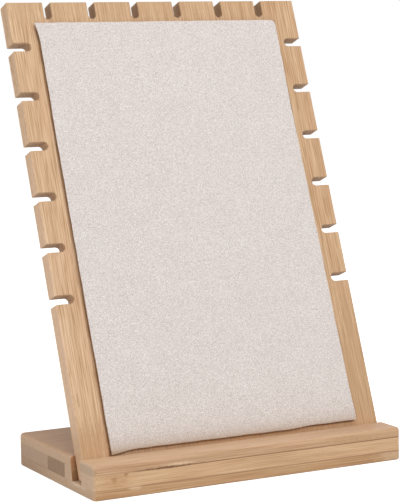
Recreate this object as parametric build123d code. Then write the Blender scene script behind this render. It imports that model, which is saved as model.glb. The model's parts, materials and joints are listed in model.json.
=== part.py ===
# Jewelry stand: a slotted bamboo board that leans back in the groove of a laminated base.
# X runs across the stand, Y runs from front to back and Z is up. The origin is the middle of
# the base's underside. Lengths are in millimetres and angles in degrees.
from build123d import *
from math import cos, radians, sin, tan
import os

# Slotted board
board_width = 200.0
board_length = 291.0
board_thickness = 10.0
board_lean = 20.7
board_corner_radius = 0.6
board_edge_chamfer = 0.4

# Slots in the board: one row along its top edge and one down each side
slot_width = 5.15
slot_mouth_round = 0.4
top_slot_count = 6
top_slot_depth = 11.0
top_slot_margin = 26.4
side_slot_count = 6
side_slot_depth = 11.8
side_slot_top_margin = 28.8
side_slot_foot_margin = 105.1

# Base: a bottom plate, a core of strips and a top ply, with one groove across them. The joints
# between the core's strips are shares of its depth behind the groove.
base_overhang = 3.0
base_depth = 110.2
plate_thickness = 6.0
core_thickness = 8.4
top_ply_thickness = 5.8
core_joint_shares = (0.116, 0.433, 0.751)
base_corner_radius = 3.0
base_top_round = 2.2
base_foot_round = 1.2

# Groove: its walls lean less than the board, so the board stands on its lower back edge,
# with its lower front edge against the rail and its back against the rear wall's top edge
rail_depth = 19.8
groove_lean = 11.5
groove_edge_round = 0.5
seat_clearance = 0.15
floor_clearance = 0.05

# Pad on the board's front: a fibreboard backing with raw edges, and suede glued over its face
pad_side_margin = 17.3
pad_top_margin = 14.4
pad_foot_margin = 13.3
backing_thickness = 2.5
backing_inset = 0.3
suede_thickness = 0.8
suede_corner_radius = 1.2
suede_edge_round = 0.3

# Cuts run past the faces that they break by this much
cut_overrun = 5.0

# A corner is taken as a slot's mouth if it lies within this share of the mouth's round
match_share = 0.01

# Sizes that follow from those above
base_width = board_width + 2 * base_overhang
core_top = plate_thickness + core_thickness
base_height = core_top + top_ply_thickness
rail_back = rail_depth - base_depth / 2
pad_width = board_width - 2 * pad_side_margin
pad_length = board_length - pad_top_margin - pad_foot_margin
pad_middle = pad_foot_margin + pad_length / 2

# Where the board stands in the groove
lean_sine = sin(radians(board_lean))
lean_cosine = cos(radians(board_lean))
groove_slope = tan(radians(groove_lean))
foot_back_z = plate_thickness + floor_clearance
foot_front_z = foot_back_z + board_thickness * lean_sine


def rail_wall(z):
    return rail_back - (base_height - z) * groove_slope


foot_front_y = rail_wall(foot_front_z) + seat_clearance / cos(radians(groove_lean))
foot_back_y = foot_front_y + board_thickness * lean_cosine
lean_edge_y = foot_back_y + (base_height - foot_back_z) * lean_sine / lean_cosine
rear_front = lean_edge_y + seat_clearance / lean_cosine


def rear_wall(z):
    return rear_front - (base_height - z) * groove_slope


# The board's own plane: x across it, y up it from its foot, z out of its front face
board_plane = Plane(
    origin=(0, foot_front_y, foot_front_z), x_dir=(1, 0, 0), z_dir=(0, -lean_cosine, lean_sine)
)


def slot_profile(depth):
    # A round-ended slot with its mouth at y = 0, cut downwards
    radius = slot_width / 2
    straight = depth - radius + cut_overrun
    walls = Pos(0, cut_overrun - straight / 2) * Rectangle(slot_width, straight)
    return walls + Pos(0, radius - depth) * Circle(radius)


def even_steps(first, last, count):
    return [first + (last - first) * step / (count - 1) for step in range(count)]


def display_panel():
    half_width = board_width / 2
    outline = Pos(0, board_length / 2) * Rectangle(board_width, board_length)
    outline = fillet(outline.vertices(), board_corner_radius)

    top_cut = slot_profile(top_slot_depth)
    top_places = even_steps(top_slot_margin - half_width, half_width - top_slot_margin, top_slot_count)
    for x in top_places:
        outline -= Pos(x, board_length) * top_cut

    side_cut = slot_profile(side_slot_depth)
    side_places = even_steps(
        side_slot_foot_margin, board_length - side_slot_top_margin, side_slot_count
    )
    for y in side_places:
        outline -= Pos(half_width, y) * Rot(0, 0, -90) * side_cut
        outline -= Pos(-half_width, y) * Rot(0, 0, 90) * side_cut

    outline = fillet(slot_mouths(outline, top_places, side_places), slot_mouth_round)
    board = extrude(outline, -board_thickness)
    rims = board.faces().filter_by(Axis.Z).edges()
    return board_plane * chamfer(rims, board_edge_chamfer)


def slot_mouths(outline, top_places, side_places):
    # The sharp corners where the slots' walls meet the board's edges
    half_width = board_width / 2
    half_slot = slot_width / 2
    near = slot_mouth_round * match_share
    mouths = []
    for corner in outline.vertices():
        on_top = abs(corner.Y - board_length) < near
        on_side = abs(abs(corner.X) - half_width) < near
        beside_top_slot = any(abs(abs(corner.X - x) - half_slot) < near for x in top_places)
        beside_side_slot = any(abs(abs(corner.Y - y) - half_slot) < near for y in side_places)
        if (on_top and beside_top_slot) or (on_side and beside_side_slot):
            mouths.append(corner)
    return mouths


def layer(block, low, high):
    slab = Box(
        base_width + cut_overrun,
        base_depth + cut_overrun,
        high - low,
        align=(Align.CENTER, Align.CENTER, Align.MIN),
    )
    return block & (Pos(0, 0, low) * slab)


def base_block():
    block = Box(base_width, base_depth, base_height, align=(Align.CENTER, Align.CENTER, Align.MIN))
    block = fillet(block.edges().filter_by(Axis.Z), base_corner_radius)
    block = fillet(block.faces().sort_by(Axis.Z)[-1].edges(), base_top_round)
    return fillet(block.faces().sort_by(Axis.Z)[0].edges(), base_foot_round)


def groove():
    above = base_height + cut_overrun
    profile = Polyline(
        (rail_wall(plate_thickness), plate_thickness),
        (rear_wall(plate_thickness), plate_thickness),
        (rear_wall(above), above),
        (rail_wall(above), above),
        close=True,
    )
    return extrude(Plane.YZ * make_face(profile), base_width / 2 + cut_overrun, both=True)


def eased(ply, nearest_groove):
    # Breaks the top edge that looks into the groove
    top_edges = ply.edges().filter_by(Axis.X).group_by(Axis.Z)[-1]
    return ply.fillet(groove_edge_round, [top_edges.sort_by(Axis.Y)[nearest_groove]])


def core_strips(core):
    # Two whole strips lie between a trimmed one at the groove and a trimmed one at the back
    core_front = rear_wall(core_top)
    core_depth = base_depth / 2 - core_front
    joints = [core_front + share * core_depth for share in core_joint_shares]
    strips = []
    rest = core
    for joint in joints:
        seam = Plane(origin=(0, joint, 0), z_dir=(0, 1, 0))
        strips.append(split(rest, bisect_by=seam, keep=Keep.BOTTOM))
        rest = split(rest, bisect_by=seam, keep=Keep.TOP)
    strips.append(rest)
    return strips


def base_pieces():
    block = base_block()
    cut = groove()
    front_core, rear_core = (layer(block, plate_thickness, core_top) - cut).solids().sort_by(Axis.Y)
    front_ply, rear_ply = (layer(block, core_top, base_height) - cut).solids().sort_by(Axis.Y)
    pieces = {
        "base_plate": layer(block, 0, plate_thickness),
        "front_core_strip": front_core,
        "front_top_ply": eased(front_ply, -1),
        "rear_top_ply": eased(rear_ply, 0),
    }
    for number, strip in enumerate(core_strips(rear_core), start=1):
        pieces[f"rear_core_strip_{number}"] = strip
    return pieces


def pad_pieces():
    backing = Box(
        pad_width - 2 * backing_inset,
        pad_length - 2 * backing_inset,
        backing_thickness,
        align=(Align.CENTER, Align.CENTER, Align.MIN),
    )
    face = fillet(Rectangle(pad_width, pad_length).vertices(), suede_corner_radius)
    suede = extrude(face, suede_thickness)
    suede = fillet(suede.faces().sort_by(Axis.Z)[-1].edges(), suede_edge_round)
    pieces = {"pad_backing": backing, "pad_suede": Pos(0, 0, backing_thickness) * suede}
    return {name: board_plane * Pos(0, pad_middle, 0) * piece for name, piece in pieces.items()}


pieces = {**base_pieces(), "display_panel": display_panel(), **pad_pieces()}
os.makedirs("parts", exist_ok=True)
for name, piece in pieces.items():
    export_step(piece, f"parts/{name}.step")
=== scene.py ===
import bpy
import json
import math
from mathutils import Matrix, Vector, noise


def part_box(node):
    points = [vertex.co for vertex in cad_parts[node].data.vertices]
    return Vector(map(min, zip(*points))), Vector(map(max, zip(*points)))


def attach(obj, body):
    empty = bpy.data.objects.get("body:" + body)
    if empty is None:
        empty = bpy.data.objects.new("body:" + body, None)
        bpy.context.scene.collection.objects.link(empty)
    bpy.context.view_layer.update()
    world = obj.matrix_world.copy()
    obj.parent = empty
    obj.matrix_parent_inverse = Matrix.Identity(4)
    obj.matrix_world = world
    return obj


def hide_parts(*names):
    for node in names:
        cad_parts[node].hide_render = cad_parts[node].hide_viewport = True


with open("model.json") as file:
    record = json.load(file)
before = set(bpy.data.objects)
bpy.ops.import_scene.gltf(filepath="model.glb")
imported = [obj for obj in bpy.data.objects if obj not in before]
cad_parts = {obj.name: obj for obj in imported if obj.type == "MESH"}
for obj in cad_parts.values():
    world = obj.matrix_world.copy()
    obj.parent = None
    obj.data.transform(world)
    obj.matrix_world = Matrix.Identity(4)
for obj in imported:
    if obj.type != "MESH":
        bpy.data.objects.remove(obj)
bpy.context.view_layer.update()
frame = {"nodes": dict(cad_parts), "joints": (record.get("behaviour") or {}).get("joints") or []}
cad = frame["nodes"]
scene = bpy.context.scene
scene.view_settings.view_transform = "Standard"
mm = 0.001
boardUp = Vector(frame["joints"][0]["axis"]).normalized()  # the board lifts out along its own lean
lean = math.atan2(boardUp.y, boardUp.z)
boardOut = Vector((0, -math.cos(lean), math.sin(lean)))  # out of the board's front face
print("frame loaded, the board leans", round(math.degrees(lean), 1), "degrees")


def linear(hexColour):
    channels = [int(hexColour[i:i + 2], 16) / 255 for i in (0, 2, 4)]
    return [c / 12.92 if c <= 0.04045 else ((c + 0.055) / 1.055) ** 2.4 for c in channels] + [1]


def addNode(tree, kind, links=None, stops=None, **settings):
    node = tree.nodes.new("ShaderNode" + kind)
    for name, value in settings.items():
        setattr(node, name, value)
    for place, value in (links or {}).items():
        if isinstance(value, bpy.types.NodeSocket):
            tree.links.new(value, node.inputs[place])
        else:
            node.inputs[place].default_value = value
    if stops:
        marks = node.color_ramp.elements
        while len(marks) < len(stops):
            marks.new(1)
        for mark, (position, hexColour) in zip(marks, stops):
            mark.position, mark.color = position, linear(hexColour)
    return [out for out in node.outputs if not out.is_unavailable][0]


def newMaterial(name, finish):
    material = bpy.data.materials.new(name)
    material.use_nodes = True
    tree = material.node_tree
    shader = tree.nodes["Principled BSDF"]
    for socket, value in finish.items():
        shader.inputs[socket].default_value = value
    return material, tree, shader


def dress(node, material):
    cad[node].data.materials.clear()
    cad[node].data.materials.append(material)


# Bamboo, split into strips, pressed and glued side by side, then sanded and thinly lacquered.
# Gives: straight fine fibre streaks, strips of slightly different tone, a dotted end grain,
# brown knuckles, thin glue lines, and a soft satin sheen.
def bamboo(name, look):
    material, tree, shader = newMaterial(name, look["finish"])
    spot = addNode(tree, "TexCoord").node.outputs
    along = look["grainAxis"]  # 0: along X, 2: up the leaning board
    turn = (look["lean"], 0, 0)
    turned = addNode(tree, "Mapping", {"Vector": spot["Object"], "Rotation": turn})
    normal = addNode(tree, "Mapping", {"Vector": spot["Normal"], "Rotation": turn})
    axes = addNode(tree, "SeparateXYZ", {0: turned}).node.outputs
    facing = addNode(tree, "SeparateXYZ", {0: normal}).node.outputs
    across = axes[0 if along == 2 else 1]

    # each strip has its own tone and its own run of fibres
    strip = addNode(tree, "Math", {0: across, 1: 1 / look["stripWidth"]}, operation="MULTIPLY")
    strip = addNode(tree, "Math", {0: strip, 1: look["seed"]}, operation="ADD")
    stripNumber = addNode(tree, "Math", {0: strip}, operation="FLOOR")
    stripChance = addNode(tree, "TexWhiteNoise", {"W": stripNumber}, noise_dimensions="1D")
    shift = addNode(tree, "Math", {0: stripChance, 1: look["stripShift"]}, operation="MULTIPLY")
    shift = addNode(tree, "Math", {0: shift, 1: look["seed"]}, operation="ADD")
    offset = addNode(tree, "CombineXYZ", {0: shift, 1: shift, 2: shift})
    fibreSpot = addNode(tree, "VectorMath", {0: turned, 1: offset}, operation="ADD")

    def streaks(size, detail):
        width, length = size
        scale = [1 / width] * 3
        scale[along] = 1 / length
        stretched = addNode(tree, "Mapping", {"Vector": fibreSpot, "Scale": scale})
        return addNode(tree, "TexNoise", {"Vector": stretched, "Scale": 1, "Detail": detail})

    fibre = streaks(look["fibre"], detail=1)
    fleck = streaks(look["fleck"], detail=1)
    broad = streaks(look["broad"], detail=2)
    cloud = streaks(look["cloud"], detail=1)

    # tone: 0.5 is the middle of the ramp and of the noise, and each part adds its own swing
    low, high = (0.5 + look["lift"] + swing for swing in (-look["stripTone"], look["stripTone"]))
    tone = addNode(tree, "MapRange", {0: stripChance, 3: low, 4: high})
    swings = [(fibre, 0.5, look["fibreSwing"]), (broad, 0.5, look["broadSwing"]), (across, 0, look["drift"])]
    for part, middle, swing in swings:
        part = addNode(tree, "Math", {0: part, 1: middle}, operation="SUBTRACT")
        tone = addNode(tree, "Math", {0: part, 1: swing, 2: tone}, operation="MULTIPLY_ADD")
    # painted shade: faces that look forwards are made darker than the rest of their piece
    start, full = look["frontFacing"]
    forwards = addNode(tree, "MapRange", {0: facing[1], 1: start, 2: full, 3: 0, 4: look["frontShade"]})
    tone = addNode(tree, "Math", {0: tone, 1: forwards}, operation="ADD")
    colour = addNode(tree, "ValToRGB", {0: tone}, stops=look["tones"])
    warmPatches = (cloud, look["warmRange"], look["warmShare"], look["warmColour"])
    brownDashes = (fleck, look["fleckRange"], look["fleckShare"], look["fleckColour"])
    for pattern, (start, full), share, tint in (warmPatches, brownDashes):
        amount = addNode(tree, "MapRange", {0: pattern, 1: start, 2: full, 3: 0, 4: share})
        colour = addNode(tree, "Mix", {0: amount, 6: colour, 7: linear(tint)}, data_type="RGBA")

    # cut ends show the fibre bundles as dots, and soak up more lacquer
    bundles = addNode(tree, "TexVoronoi", {"Vector": spot["Object"], "Scale": 1 / look["bundle"]})
    (start, full), (dark, pale) = look["bundleRange"], look["bundleTone"]
    bundles = addNode(tree, "MapRange", {0: bundles, 1: start, 2: full, 3: dark, 4: pale})
    pores = addNode(tree, "TexNoise", {"Vector": spot["Object"], "Scale": 1 / look["pore"], "Detail": 3})
    dots = addNode(tree, "Mix", {0: look["poreShare"], 2: bundles, 3: pores}, data_type="FLOAT")
    endGrain = addNode(tree, "ValToRGB", {0: dots}, stops=look["endTones"])
    start, full = look["endFacing"]
    ends = addNode(tree, "Math", {0: facing[along]}, operation="ABSOLUTE")
    ends = addNode(tree, "MapRange", {0: ends, 1: start, 2: full, 3: 0, 4: look["endShare"]})
    colour = addNode(tree, "Mix", {0: ends, 6: colour, 7: endGrain}, data_type="RGBA")

    # painted shade and painted warm reflection on the groove's rear wall, the one face of the rear pieces
    # that looks forwards
    start, full = look["grooveShadeFacing"]
    grooveShaded = addNode(tree, "MapRange", {0: facing[1], 1: start, 2: full, 3: 0, 4: look["grooveShadeShare"]})
    grooveShadeColour = linear(look["grooveShadeColour"])
    colour = addNode(tree, "Mix", {0: grooveShaded, 6: colour, 7: grooveShadeColour}, data_type="RGBA")

    # knuckles and single marks: ragged spots at a place, in mm, with a reach each way
    ragged = streaks(look["ragged"], detail=2)
    start, full = look["markRange"]
    for place, reach, share, tint in look["marks"]:
        away = addNode(tree, "VectorMath", {0: turned, 1: Vector(place) * mm}, operation="SUBTRACT")
        away = addNode(tree, "VectorMath", {0: away, 1: Vector(reach) * mm}, operation="DIVIDE")
        away = addNode(tree, "VectorMath", {0: away}, operation="LENGTH")
        away = addNode(tree, "Math", {0: ragged, 1: look["raggedness"], 2: away}, operation="MULTIPLY_ADD")
        fade = {0: away, 1: start, 2: full, 3: 0, 4: share}
        amount = addNode(tree, "MapRange", fade, interpolation_type="SMOOTHSTEP")
        colour = addNode(tree, "Mix", {0: amount, 6: colour, 7: linear(tint)}, data_type="RGBA")

    # thin brown glue lines where the layers meet, patchy, and closed up left of a place, in mm
    (start, full), (before, after) = look["seamPatches"], look["seamOpening"]
    edge, middle = look["seamHalf"], look["seamHalf"] * look["seamCore"]
    for height, place, share in look["seams"]:
        gap = addNode(tree, "Math", {0: axes[2], 1: height * mm}, operation="SUBTRACT")
        gap = addNode(tree, "Math", {0: gap}, operation="ABSOLUTE")
        line = addNode(tree, "MapRange", {0: gap, 1: edge, 2: middle, 3: 0, 4: share})
        patchy = addNode(tree, "MapRange", {0: broad, 1: start, 2: full, 3: look["seamFaint"], 4: 1})
        shut, opened = (place - before) * mm, (place + after) * mm
        parted = addNode(tree, "MapRange", {0: axes[0], 1: shut, 2: opened, 3: look["seamClosed"], 4: 1})
        onFace = addNode(tree, "MapRange", {0: ends, 3: 1, 4: look["seamAtEnds"]})
        for part in (patchy, parted, onFace):
            line = addNode(tree, "Math", {0: line, 1: part}, operation="MULTIPLY")
        colour = addNode(tree, "Mix", {0: line, 6: colour, 7: linear(look["seamColour"])}, data_type="RGBA")

    (start, full), (smooth, dull) = look["roughRange"], look["roughness"]
    rough = addNode(tree, "MapRange", {0: fibre, 1: start, 2: full, 3: smooth, 4: dull})
    relief = addNode(tree, "Mix", {0: look["fleckRelief"], 2: fibre, 3: fleck}, data_type="FLOAT")
    bump = addNode(tree, "Bump", {"Strength": look["bump"], "Distance": look["relief"], "Height": relief})
    tree.links.new(colour, shader.inputs["Base Color"])
    tree.links.new(rough, shader.inputs["Roughness"])
    tree.links.new(bump, shader.inputs["Normal"])
    return material


# The slotted board: narrow strips on edge, all running up the board. A pattern's two sizes are
# across and along the grain, a range or facing is where an effect starts and where it is full,
# and a mark is its place and reach in mm, its share and its colour.
boardLook = {
    "lean": lean,
    "grainAxis": 2,
    "seed": 3.3,
    "stripWidth": 5.2 * mm,
    "stripTone": 0.02,
    "stripShift": 0.9,  # metres in the pattern, so that no two strips share their fibres
    "lift": -0.05,  # tone added all over
    "tones": [(0.2, "ad855e"), (0.5, "d2af8b"), (0.8, "edd1b0")],
    "fibre": (0.8 * mm, 40 * mm),  # real fibres are near 0.3 mm, drawn coarser to show
    "fibreSwing": 0.7,
    "broad": (2.6 * mm, 60 * mm),
    "broadSwing": 0.1,
    "drift": -0.3,  # painted shade: tone per metre towards the right, darkening the right side
    "frontShade": 0,  # painted shade: tone added on faces that look forwards
    "frontFacing": (-0.3, -0.9),
    "cloud": (9 * mm, 55 * mm),
    "warmColour": "d3a687",
    "warmShare": 0.3,
    "warmRange": (0.5, 0.75),
    "fleck": (0.55 * mm, 20 * mm),
    "fleckColour": "a0713f",
    "fleckShare": 0.58,
    "fleckRange": (0.54, 0.64),
    "bundle": 0.9 * mm,
    "bundleRange": (0.25, 0.6),
    "bundleTone": (0.25, 0.75),
    "pore": 1.8 * mm,
    "poreShare": 0.5,
    "endTones": [(0.3, "a07c5c"), (0.5, "c3a281"), (0.7, "d8bb9c")],
    "endShare": 0.7,
    "endFacing": (0.35, 0.95),
    # painted shade and painted warm reflection on faces that look forwards, used by the rear pieces
    "grooveShadeColour": "8a5021",
    "grooveShadeShare": 0,
    "grooveShadeFacing": (-0.6, -0.9),
    "ragged": (1.1 * mm, 3 * mm),
    "raggedness": 1.4,  # reaches by which the noise pushes a mark's edge
    "markRange": (1.7, 0.8),
    "marks": [
        ((94, -38, 40), (26, 30, 90), 0.45, "b7946f"),  # browner foot of the right stile, painted shade near the base
        ((-30, -38, 296), (150, 30, 34), 0.6, "bd9770"),  # browner top
        ((-100.3, -33, 60), (1.2, 25, 310), 0.75, "ebc6a6"),  # pale left edge
        ((0, -38, 3), (150, 30, 15), 0.85, "d8a272"),  # warm strip under the pad
        ((-93, -38, 14), (24, 30, 19), 0.5, "b0865b"),  # browner foot of the left stile, painted shade near the base
    ],
    "seams": [],  # height and start of each glue line in mm, and its share
    "seamColour": "7a5030",
    "seamHalf": 0.45 * mm,
    "seamCore": 0.4,  # of its half width, where it is darkest
    "seamPatches": (0.35, 0.6),
    "seamFaint": 0.5,
    "seamOpening": (6, 4),  # mm before and after its start
    "seamClosed": 0.12,
    "seamAtEnds": 0.4,
    "roughness": (0.44, 0.58),
    "roughRange": (0.3, 0.7),
    "fleckRelief": 0.4,
    "bump": 0.35,
    "relief": 0.06 * mm,
    "finish": {"IOR": 1.5, "Specular IOR Level": 0.3},
}
dress("display_panel", bamboo("bamboo board, edge grain", boardLook))
print("board dressed")

# The base: broad strips laid flat, running along the rail, one look for each layer
baseLook = dict(
    boardLook,
    lean=0,
    grainAxis=0,
    stripWidth=25 * mm,
    lift=0.02,
    tones=[(0.2, "a57a51"), (0.5, "cca67f"), (0.8, "e6c7a2")],
    fibre=(0.5 * mm, 40 * mm),
    fibreSwing=0.55,
    broad=(1.8 * mm, 80 * mm),
    broadSwing=0.3,
    drift=0,
    fleckShare=0.25,
    endTones=[(0.2, "b09176"), (0.5, "c6a78a"), (0.8, "d1b497")],
    endShare=0.8,
    marks=[],
)
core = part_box("front_core_strip")
lowSeam, highSeam = core[0].z / mm, core[1].z / mm
wholeLength = -200  # left of the base, so that a glue line is open all along
darkEnds = [(0.2, "866850"), (0.5, "997b60"), (0.8, "a6886d")]
dullEnds = [(0.2, "a6886f"), (0.5, "b8997f"), (0.8, "c3a48a")]
greyEnds = [(0.2, "aa8f74"), (0.5, "ba9f84"), (0.8, "c5aa8f")]
paleEnds = [(0.2, "b6977c"), (0.5, "cdaf93"), (0.8, "d8bca0")]
rearStrip = dict(seams=[(lowSeam, wholeLength, 0.5)], seamAtEnds=1, endTones=dullEnds, endShare=1)
basePieces = {
    "base_plate": dict(
        seed=0.4,
        fibreSwing=0.8,
        broadSwing=0.35,
        tones=[(0.2, "99714d"), (0.5, "bd966f"), (0.8, "d6b690")],
        seams=[(lowSeam, -76, 0.6)],
        marks=[
            ((-77, -54.5, 5), (6, 9, 1.5), 0.7, "e0bf9c"),  # pale fleck where the glue line starts
            ((-92, -54.5, 2), (16, 20, 3), 0.35, "b98b60"),  # browner left corner
            ((-101, -33, 6), (9, 15, 3), 0.45, "ffe9d2"),  # painted light on the groove's floor at its end
            ((-104, 42, 3), (6, 50, 12), 0.7, "a98a70"),  # duller end towards the back
            ((98, -54.5, 3), (18, 20, 7), 0.55, "cdb093"),  # paler right corner
            ((20, -54.8, 3), (40, 6, 4), 0.4, "b28f69"),  # browner middle
        ],
    ),
    "front_core_strip": dict(
        seed=7.1,
        lift=0.07,
        endTones=paleEnds,
        seams=[(highSeam, -78, 0.85), (lowSeam, -70, 0.5)],
        marks=[
            ((-90, -54.5, 11), (2.6, 14, 3.2), 0.6, "a2754b"),  # knuckle
            ((-82.7, -54.5, 13.7), (2.2, 14, 1.3), 0.75, "8f6138"),  # knuckle under the glue line
            ((-84, -54.5, 10.4), (3, 9, 1.2), 0.45, "b88c62"),  # fainter one below it
            ((-89, -54.5, 10.5), (15, 14, 8), 0.4, "b68a5e"),  # brown round all three
            ((20, -54.8, 10), (50, 6, 5), 0.4, "ba9673"),  # browner middle
            ((-54, -55.1, 14.4), (24, 3, 0.9), 0.8, "5a371e"),  # open glue line
        ],
    ),
    "front_top_ply": dict(
        seed=2.7,
        lift=0.07,
        # painted shade: the rail's front made darker than its top
        frontShade=-0.19,
        fibreSwing=0.7,
        broadSwing=0.2,
        tones=[(0.2, "a57c56"), (0.5, "cca785"), (0.8, "e6c8a8")],
        endTones=greyEnds,
        seams=[(highSeam, -78, 0.85)],
        marks=[
            ((80, -54.8, 17.6), (60, 6, 4.4), 0.55, "cdaa84"),  # paler front at the right
            ((85, -44, 20.2), (60, 16, 3), 0.5, "c0967a"),  # browner top at the right
            ((-33, -54.8, 17.6), (40, 6, 4), 0.5, "b59672"),  # browner front left of the middle
            ((-49, -55, 15.4), (14, 7, 2), 0.7, "e9cba8"),  # pale streak over the open glue line
            ((-54, -55.1, 14.5), (24, 3, 1.2), 0.9, "5a371e"),  # open glue line
        ],
    ),
    "rear_top_ply": dict(
        seed=5.2,
        # painted shade and painted warm reflection on the groove's rear wall
        grooveShadeShare=0.55,
        tones=[(0.2, "a4754d"), (0.5, "ca9f79"), (0.8, "e4c09a")],
        seams=[(highSeam, wholeLength, 0.4)],
        marks=[((0, 55.5, 20.6), (900, 5, 5), 0.35, "6b5546")],  # painted shade along the rounded rear edge
    ),
    # painted shade and painted warm reflection on the groove's rear wall
    "rear_core_strip_1": dict(seed=9.6, grooveShadeShare=0.55),
    "rear_core_strip_2": dict(rearStrip, seed=4.1, endTones=darkEnds),
    "rear_core_strip_3": dict(rearStrip, seed=6.8),
    "rear_core_strip_4": dict(rearStrip, seed=8.3),
}
for node, changes in basePieces.items():
    dress(node, bamboo("bamboo " + node.replace("_", " "), dict(baseLook, **changes)))
print("base dressed,", len(basePieces), "layers and strips")

# Fibreboard: wood fibres pressed to a dense brown sheet and sawn to size, so it is matt,
# mottled and a little furry at its edges
backingLook = {
    "tones": [(0.3, "765434"), (0.5, "92704d"), (0.7, "aa8763")],
    "fibre": (0.5 * mm, 3 * mm),
    "lump": 1.4 * mm,
    "lumpShare": 0.5,
    "bump": 0.4,
    "relief": 0.15 * mm,
    "finish": {"Roughness": 0.9, "Specular IOR Level": 0.2},
}
backing, tree, shader = newMaterial("fibreboard, sawn", backingLook["finish"])
spot = addNode(tree, "TexCoord").node.outputs["Object"]
width, length = backingLook["fibre"]
fibres = addNode(tree, "Mapping", {"Vector": spot, "Scale": (1 / length, 1 / length, 1 / width)})
fibres = addNode(tree, "TexNoise", {"Vector": fibres, "Scale": 1, "Detail": 3})
lumps = addNode(tree, "TexNoise", {"Vector": spot, "Scale": 1 / backingLook["lump"], "Detail": 3})
pulp = addNode(tree, "Mix", {0: backingLook["lumpShare"], 2: fibres, 3: lumps}, data_type="FLOAT")
colour = addNode(tree, "ValToRGB", {0: pulp}, stops=backingLook["tones"])
furry = {"Strength": backingLook["bump"], "Distance": backingLook["relief"], "Height": pulp}
tree.links.new(colour, shader.inputs["Base Color"])
tree.links.new(addNode(tree, "Bump", furry), shader.inputs["Normal"])
dress("pad_backing", backing)
print("backing dressed")

# Where the suede lies on the board: x across it, s up it and h out of its front
suedeSpots = [(v.co.x, v.co.dot(boardUp), v.co.dot(boardOut)) for v in cad["pad_suede"].data.vertices]
halfWidth = max(x for x, s, h in suedeSpots)
lowS, highS = min(s for x, s, h in suedeSpots), max(s for x, s, h in suedeSpots)
lowH, highH = min(h for x, s, h in suedeSpots), max(h for x, s, h in suedeSpots)
halfLength = (highS - lowS) / 2

# Micro-suede: a sanded polyester knit, so it is matt with a soft sheen and a short mottled nap
suedeLook = {
    "tones": [(0.3, "bfb4af"), (0.5, "d8cfca"), (0.7, "eee7e3")],
    "nap": 0.56 * mm,  # real tufts are near 0.3 mm, drawn coarser to show
    "tuft": 2.4 * mm,
    "tuftShare": 0.05,
    "brushed": 12 * mm,
    "brushedShare": 0.06,
    "footColour": "aa8c6c",  # painted shade and painted reflection of the wood below, in the nap at the sheet's foot
    "footShare": 0.6,
    "footFade": 4.4 * mm,
    "bump": 0.4,
    "relief": 0.2 * mm,
    "finish": {
        "Roughness": 0.95,
        "Specular IOR Level": 0.15,
        "Sheen Weight": 0.12,
        "Sheen Roughness": 0.5,
        "Sheen Tint": linear("f3e9e4"),
    },
}
suede, tree, shader = newMaterial("micro-suede", suedeLook["finish"])
spot = addNode(tree, "TexCoord").node.outputs["Object"]
nap = addNode(tree, "TexNoise", {"Vector": spot, "Scale": 1 / suedeLook["nap"], "Detail": 1})
tuft = addNode(tree, "TexNoise", {"Vector": spot, "Scale": 1 / suedeLook["tuft"], "Detail": 2})
brushed = addNode(tree, "TexNoise", {"Vector": spot, "Scale": 1 / suedeLook["brushed"], "Detail": 2})
tone = addNode(tree, "Mix", {0: suedeLook["tuftShare"], 2: nap, 3: tuft}, data_type="FLOAT")
tone = addNode(tree, "Mix", {0: suedeLook["brushedShare"], 2: tone, 3: brushed}, data_type="FLOAT")
colour = addNode(tree, "ValToRGB", {0: tone}, stops=suedeLook["tones"])
# painted shade and painted reflection at the sheet's foot, fading up the sheet
rise = addNode(tree, "VectorMath", {0: spot, 1: boardUp}, operation="DOT_PRODUCT")
rise = addNode(tree, "Math", {0: rise, 1: lowS}, operation="SUBTRACT")
fade = addNode(tree, "Math", {0: rise, 1: -1 / suedeLook["footFade"]}, operation="MULTIPLY")
fade = addNode(tree, "Math", {0: fade}, operation="EXPONENT")
fade = addNode(tree, "Math", {0: fade, 1: suedeLook["footShare"]}, operation="MULTIPLY")
colour = addNode(tree, "Mix", {0: fade, 6: colour, 7: linear(suedeLook["footColour"])}, data_type="RGBA")
fluffy = {"Strength": suedeLook["bump"], "Distance": suedeLook["relief"], "Height": nap}
tree.links.new(colour, shader.inputs["Base Color"])
tree.links.new(addNode(tree, "Bump", fluffy), shader.inputs["Normal"])

# The suede on the pad: one sheet glued to the backing's face, its cut edges a little uneven.
# A line is how a hand-cut edge strays: mm along it from its middle, then mm to the right or up.
sheetShape = {
    "cell": 1.5 * mm,
    "edgeRound": 0.3 * mm,
    "edgeSegments": 2,
    "edgeReach": 7 * mm,  # how far in from an edge its straying dies away
    "wander": 0.22 * mm,
    "wanderPitch": 9 * mm,
    "wanderSeeds": (0.3, 4.7),
    "wanderSpread": 3,  # keeps opposite edges from wandering alike
    "leftLine": [(-132, 0.1), (-85, 0), (-35, -0.25), (5, -0.3), (55, -0.5), (105, -0.35), (132, -0.3)],
    "rightLine": [(-132, 1.0), (-125, 0.9), (-105, 0.25), (-85, 0.15), (-65, -0.1), (-10, -0.2),
                  (45, -0.75), (75, -0.9), (105, -0.6), (132, -0.5)],
    "footLine": [(-84, -2.5), (-80, -2.1), (-72, -0.85), (-64, -0.33), (-40, -0.35), (30, -0.5),
                 (40, -0.45), (46, 0.15), (50, 0.4), (84, 0.3)],
    "corners": [  # corner (across, up), pull in mm, reach in mm
        ((-1, 1), (-2.0, 0.1), 12),
        ((1, 1), (-0.9, -0.9), 4),
    ],
}

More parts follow.
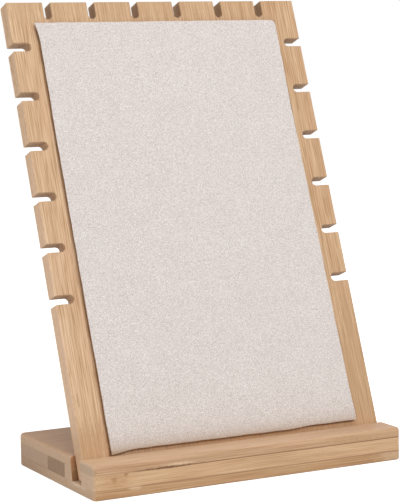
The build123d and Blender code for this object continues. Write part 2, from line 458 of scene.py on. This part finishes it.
bpy.ops.object.select_all(action="DESELECT")
cellsAcross, cellsUp = (round(2 * half / sheetShape["cell"]) for half in (halfWidth, halfLength))
bpy.ops.mesh.primitive_grid_add(x_subdivisions=cellsAcross, y_subdivisions=cellsUp, size=1)
sheet = bpy.context.object
sheet.name = sheet.data.name = "suede_sheet"
bpy.ops.object.mode_set(mode="EDIT")
bpy.ops.mesh.select_all(action="SELECT")
bpy.ops.transform.resize(value=(2 * halfWidth, 2 * halfLength, 1))
bpy.ops.object.mode_set(mode="OBJECT")


def strayed(line, place):
    for (start, before), (end, after) in zip(line, line[1:]):
        if place <= end * mm:
            return (before + (after - before) * (place / mm - start) / (end - start)) * mm
    return line[-1][1] * mm


wander, pitch, spread = (sheetShape[key] for key in ("wander", "wanderPitch", "wanderSpread"))
sideSeed, endSeed = sheetShape["wanderSeeds"]
for v in sheet.data.vertices:
    x, y = v.co.x, v.co.y
    nearSide = math.exp(-(halfWidth - abs(x)) / sheetShape["edgeReach"])
    nearEnd = math.exp(-(halfLength - abs(y)) / sheetShape["edgeReach"])
    v.co.x += nearSide * wander * noise.noise(Vector((y / pitch, x * spread, sideSeed)))
    v.co.y += nearEnd * wander * noise.noise(Vector((x / pitch, y * spread, endSeed)))
    v.co.x += nearSide * strayed(sheetShape["leftLine" if x < 0 else "rightLine"], y)
    if y < 0:
        v.co.y += nearEnd * strayed(sheetShape["footLine"], x)
    for (cornerAcross, cornerUp), (pullX, pullY), reach in sheetShape["corners"]:
        away = math.hypot(x - cornerAcross * halfWidth, y - cornerUp * halfLength) / (reach * mm)
        share = max(0, 1 - away) ** 2
        v.co.x += pullX * mm * share
        v.co.y += pullY * mm * share

wall = sheet.modifiers.new("Solidify", "SOLIDIFY")
wall.thickness = highH - lowH
wall.offset = -1
bpy.ops.object.modifier_apply(modifier="Solidify")
rim = sheet.modifiers.new("Bevel", "BEVEL")
rim.width, rim.segments, rim.limit_method = sheetShape["edgeRound"], sheetShape["edgeSegments"], "ANGLE"
bpy.ops.object.modifier_apply(modifier="Bevel")
bpy.ops.object.shade_smooth()
ontoPad = Matrix((Vector((1, 0, 0)), boardUp, boardOut)).transposed().to_4x4()
ontoPad.translation = boardUp * (lowS + halfLength) + boardOut * highH
sheet.data.transform(ontoPad)
sheet.data.materials.append(suede)
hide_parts("pad_suede")
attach(sheet, "display")
print("suede sheet made,", len(sheet.data.polygons), "faces")

# Camera: fitted to the board's and base's edges in the photograph, which is 400 by 502 pixels
view = {
    "azimuth": 27.4193,
    "elevation": 5.8474,
    "roll": -0.9546,
    "distance": 1140.052 * mm,
    "target": (-5.9663 * mm, 0, 143.1112 * mm),
    "focalPixels": 1888.92,
    "centre": (197.604, 230.3581),
    "photo": (400, 502),
    "sensor": 36,
}
azimuth, elevation, roll = (math.radians(view[key]) for key in ("azimuth", "elevation", "roll"))
level = math.cos(elevation)
back = Vector((-math.sin(azimuth) * level, -math.cos(azimuth) * level, math.sin(elevation)))
right = Vector((0, 0, 1)).cross(back).normalized()
up = back.cross(right)
right, up = right * math.cos(roll) + up * math.sin(roll), up * math.cos(roll) - right * math.sin(roll)
lens = bpy.data.cameras.new("camera")
longSide = max(view["photo"])
lens.sensor_width = view["sensor"]
lens.lens = view["focalPixels"] * lens.sensor_width / longSide
lens.shift_x = (view["photo"][0] / 2 - view["centre"][0]) / longSide
lens.shift_y = (view["centre"][1] - view["photo"][1] / 2) / longSide
camera = bpy.data.objects.new("camera", lens)
stand = Matrix.Translation(Vector(view["target"]) + back * view["distance"])
camera.matrix_world = stand @ Matrix((right, up, back)).transposed().to_4x4()
scene.collection.objects.link(camera)
scene.camera = camera
print("camera placed")

# Studio: a white sweep, a soft lamp in front, a broad one overhead and a weaker one at the left.
# The floor's lift and the sky's white are for the background alone and don't light the stand.
studio = {
    "floorSize": 12,
    "floorDrop": 0.2 * mm,
    "floorLift": 0.85,
    "floorFinish": {"Base Color": linear("f0f0f0"), "Roughness": 1, "Specular IOR Level": 0},
    "skyColour": "ffffff",
    "skyLight": 0.24,
    "skySeen": 1,
    "aim": (0, 0, 0.14),
    "lamps": {
        "key": dict(place=(0.2, -1.9, 1.25), size=0.7, power=20.5),
        "fill": dict(place=(-0.9, 0.12, 0.36), size=0.5, power=2.25),
        "top": dict(place=(0, -0.75, 2.2), size=1.5, power=20.5),
    },
}
bpy.ops.object.select_all(action="DESELECT")
bpy.ops.mesh.primitive_plane_add(size=studio["floorSize"], location=(0, 0, -studio["floorDrop"]))
floor = bpy.context.object
floor.name = floor.data.name = "floor"
material, tree, shader = newMaterial("white paper sweep", studio["floorFinish"])
rays = addNode(tree, "LightPath").node.outputs
lift = addNode(tree, "Math", {0: rays["Is Camera Ray"], 1: studio["floorLift"]}, operation="MULTIPLY")
glow = addNode(tree, "Emission", {"Strength": lift})
paper = addNode(tree, "AddShader", {0: shader.outputs[0], 1: glow})
tree.links.new(paper, tree.nodes["Material Output"].inputs["Surface"])
floor.data.materials.append(material)

scene.world = bpy.data.worlds.new("studio")
scene.world.use_nodes = True
tree = scene.world.node_tree
rays = addNode(tree, "LightPath").node.outputs
seen = addNode(tree, "Math", {0: rays["Is Camera Ray"], 1: rays["Is Glossy Ray"]}, operation="MAXIMUM")
seen = addNode(tree, "Math", {0: seen, 1: rays["Is Transmission Ray"]}, operation="MAXIMUM")
strength = addNode(tree, "Mix", {0: seen, 2: studio["skyLight"], 3: studio["skySeen"]}, data_type="FLOAT")
sky = tree.nodes["Background"]
sky.inputs["Color"].default_value = linear(studio["skyColour"])
tree.links.new(strength, sky.inputs["Strength"])
for name, lamp in studio["lamps"].items():
    light = bpy.data.lights.new(name, "AREA")
    light.energy, light.size = lamp["power"], lamp["size"]
    holder = bpy.data.objects.new(name, light)
    holder.location = lamp["place"]
    aim = Vector(studio["aim"]) - holder.location
    holder.rotation_euler = aim.to_track_quat("-Z", "Y").to_euler()
    scene.collection.objects.link(holder)
print("studio lit")
